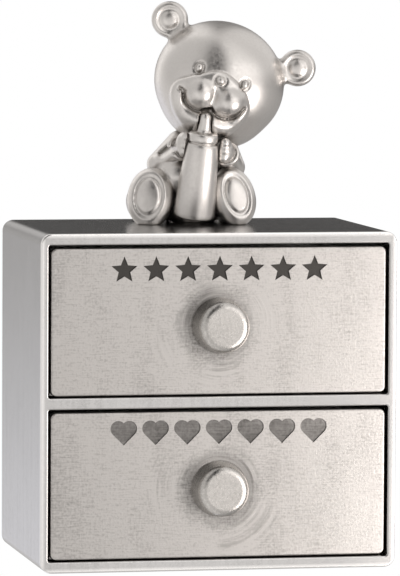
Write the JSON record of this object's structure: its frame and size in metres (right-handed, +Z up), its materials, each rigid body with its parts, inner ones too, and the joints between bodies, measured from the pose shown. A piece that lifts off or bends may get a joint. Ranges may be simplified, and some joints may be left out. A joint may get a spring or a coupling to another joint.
{
  "type": "baby tooth box",
  "caption": "Small cast-metal chest of two drawers with round knobs, for a first tooth and a first curl, with a seated bear holding a bottle on top.",
  "frame": {"origin": "middle of the footprint, on the surface that the felt underside rests on", "axes": "+X to the viewer's right, the drawers open towards -Y, +Z up"},
  "size_m": [0.055, 0.0402, 0.086],
  "materials": {
    "case_metal": "antiqued pewter plating, satin with polished edges",
    "drawer_metal": "antiqued pewter plating, finely brushed",
    "knob_metal": "antiqued pewter plating, satin",
    "figure_metal": "antiqued pewter plating, satin-polished",
    "screw_steel": "bright zinc",
    "velvet": "black flocked velvet",
    "felt": "black felt"
  },
  "bodies": {
    "case": {"cabinet_shell": "case_metal", "back_panel": "case_metal", "base_felt": "felt", "bear_body": "figure_metal", "bear_head": "figure_metal", "feeding_bottle": "figure_metal", "bear_screws": "screw_steel"},
    "upper_drawer": {"upper_drawer_tray": "drawer_metal", "upper_knob": "knob_metal", "upper_knob_screw": "screw_steel", "upper_drawer_lining": "velvet"},
    "lower_drawer": {"lower_drawer_tray": "drawer_metal", "lower_knob": "knob_metal", "lower_knob_screw": "screw_steel", "lower_drawer_lining": "velvet"}
  },
  "joints": [
    {"name": "upper_drawer_slide", "type": "slide", "parent": "case", "child": "upper_drawer", "axis": [0, -1, 0], "range_m": [0, 0.034]},
    {"name": "lower_drawer_slide", "type": "slide", "parent": "case", "child": "lower_drawer", "axis": [0, -1, 0], "range_m": [0, 0.034]}
  ]
}
